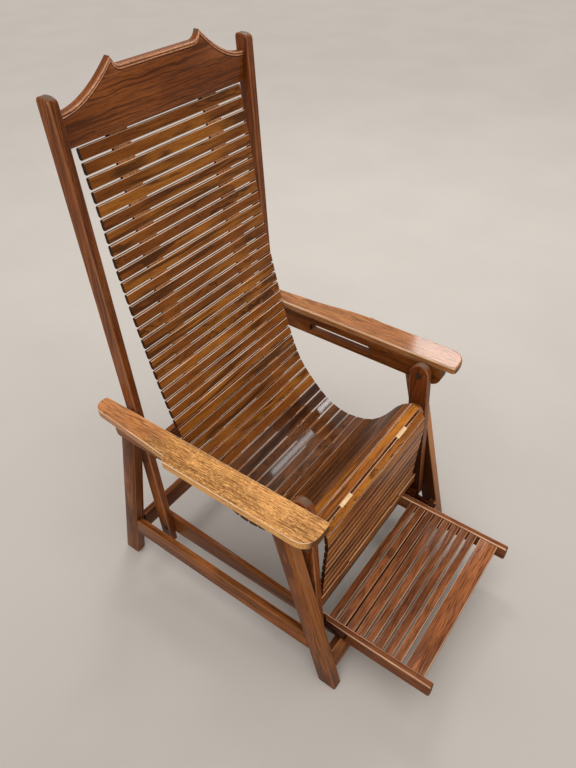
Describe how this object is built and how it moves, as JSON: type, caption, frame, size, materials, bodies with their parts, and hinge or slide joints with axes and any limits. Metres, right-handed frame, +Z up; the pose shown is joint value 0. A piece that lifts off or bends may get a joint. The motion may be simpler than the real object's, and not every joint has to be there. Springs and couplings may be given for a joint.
{
  "type": "slatted folding recliner",
  "caption": "Hardwood lounge recliner with a hinged slat sling hung between swinging stiles and legs, paddle arms and a pull-out slatted footrest.",
  "frame": {"origin": "centre of the bounding box at floor level", "axes": "+X across the chair, -Y the way the sitter faces, +Z up"},
  "size_m": [0.626, 0.836, 1.16],
  "materials": {
    "arm_wood": "worn satin varnish",
    "side_frame_wood": "satin varnish",
    "back_frame_wood": "satin varnish",
    "slat_wood": "polished by use",
    "footrest_wood": "satin varnish",
    "bolt_steel": "darkened"
  },
  "bodies": {
    "frame": {"arm_left": "arm_wood", "arm_right": "arm_wood", "apron_left": "side_frame_wood", "apron_right": "side_frame_wood", "rear_leg_left": "side_frame_wood", "rear_leg_right": "side_frame_wood", "front_leg_left": "side_frame_wood", "front_leg_right": "side_frame_wood", "side_stretcher_left": "side_frame_wood", "side_stretcher_right": "side_frame_wood", "rear_pivot_bolt_left": "bolt_steel", "rear_pivot_bolt_right": "bolt_steel", "front_pivot_bolt_left": "bolt_steel", "front_pivot_bolt_right": "bolt_steel", "rear_cross_stretcher": "side_frame_wood", "front_cross_stretcher": "side_frame_wood"},
    "back": {"stile_left": "back_frame_wood", "stile_right": "back_frame_wood", "crest_rail": "back_frame_wood", "back_cross_rail": "side_frame_wood", "back_slats_1": "slat_wood", "back_slats_2": "slat_wood", "back_slats_3": "slat_wood", "back_slats_4": "slat_wood", "back_slats_5": "slat_wood", "back_slats_6": "slat_wood"},
    "lower_rails": {"lower_rail_left": "side_frame_wood", "lower_rail_right": "side_frame_wood", "rear_link_pin_left": "bolt_steel", "rear_link_pin_right": "bolt_steel", "front_link_pin_left": "bolt_steel", "front_link_pin_right": "bolt_steel"},
    "front_swing": {"inner_front_leg_left": "back_frame_wood", "inner_front_leg_right": "back_frame_wood", "front_roll_bar": "side_frame_wood", "sling_bottom_rail": "side_frame_wood", "roll_slats_1": "slat_wood", "fall_slats_1": "slat_wood", "fall_slats_2": "slat_wood"},
    "footrest": {"footrest_rail_left": "footrest_wood", "footrest_rail_right": "footrest_wood", "footrest_slat_1": "footrest_wood", "footrest_slat_2": "footrest_wood", "footrest_slat_3": "footrest_wood", "footrest_slat_4": "footrest_wood", "footrest_slat_5": "footrest_wood", "footrest_slat_6": "footrest_wood", "footrest_slat_7": "footrest_wood", "footrest_slat_8": "footrest_wood", "footrest_front_rail": "footrest_wood", "footrest_rear_bar": "footrest_wood"},
    "seat_1": {"seat_slats_1": "slat_wood"},
    "seat_2": {"seat_slats_2": "slat_wood"},
    "seat_3": {"seat_slats_3": "slat_wood"},
    "seat_4": {"seat_slats_4": "slat_wood"},
    "seat_5": {"seat_slats_5": "slat_wood"},
    "seat_6": {"seat_slats_6": "slat_wood"}
  },
  "joints": [
    {"name": "back_recline", "type": "hinge", "parent": "frame", "child": "back", "pos_m": [0, 0.3115, 0.513], "axis": [-1, 0, 0], "range_deg": [-2.5, 12]},
    {"name": "lower_rail_hinge", "type": "hinge", "parent": "back", "child": "lower_rails", "pos_m": [0, 0.282, 0.144], "axis": [-1, 0, 0], "range_deg": [-13, 3.5]},
    {"name": "front_leg_swing", "type": "hinge", "parent": "frame", "child": "front_swing", "pos_m": [0, -0.118, 0.5095], "axis": [-1, 0, 0], "range_deg": [-3.5, 13]},
    {"name": "seat_hinge_1", "type": "hinge", "parent": "back", "child": "seat_1", "pos_m": [0, 0.22054, 0.49205], "axis": [-1, 0, 0], "range_deg": [-3.5, 1.2]},
    {"name": "seat_hinge_2", "type": "hinge", "parent": "seat_1", "child": "seat_2", "pos_m": [0, 0.19157, 0.42633], "axis": [-1, 0, 0], "range_deg": [-10.2, 2.6]},
    {"name": "seat_hinge_3", "type": "hinge", "parent": "seat_2", "child": "seat_3", "pos_m": [0, 0.14659, 0.37025], "axis": [-1, 0, 0], "range_deg": [-3.9, 1.3]},
    {"name": "seat_hinge_4", "type": "hinge", "parent": "seat_3", "child": "seat_4", "pos_m": [0, 0.08976, 0.32571], "axis": [-1, 0, 0], "range_deg": [-3.5, 1.2]},
    {"name": "seat_hinge_5", "type": "hinge", "parent": "seat_4", "child": "seat_5", "pos_m": [0, 0.018, 0.31713], "axis": [-1, 0, 0], "range_deg": [-2.1, 0.9]},
    {"name": "seat_hinge_6", "type": "hinge", "parent": "seat_5", "child": "seat_6", "pos_m": [0, -0.0461, 0.35035], "axis": [-1, 0, 0], "range_deg": [-1.8, 0.8]},
    {"name": "footrest_slide", "type": "slide", "parent": "frame", "child": "footrest", "axis": [0, 1, 0], "range_m": [0, 0.18]}
  ],
  "couplings": [
    {"joint": "lower_rail_hinge", "follows": "back_recline", "ratio": -1},
    {"joint": "front_leg_swing", "follows": "back_recline", "ratio": 1},
    {"joint": "seat_hinge_1", "follows": "back_recline", "ratio": -0.2446},
    {"joint": "seat_hinge_2", "follows": "back_recline", "ratio": -0.7973},
    {"joint": "seat_hinge_3", "follows": "back_recline", "ratio": -0.2772},
    {"joint": "seat_hinge_4", "follows": "back_recline", "ratio": -0.241},
    {"joint": "seat_hinge_5", "follows": "back_recline", "ratio": -0.1258},
    {"joint": "seat_hinge_6", "follows": "back_recline", "ratio": -0.0982}
  ]
}
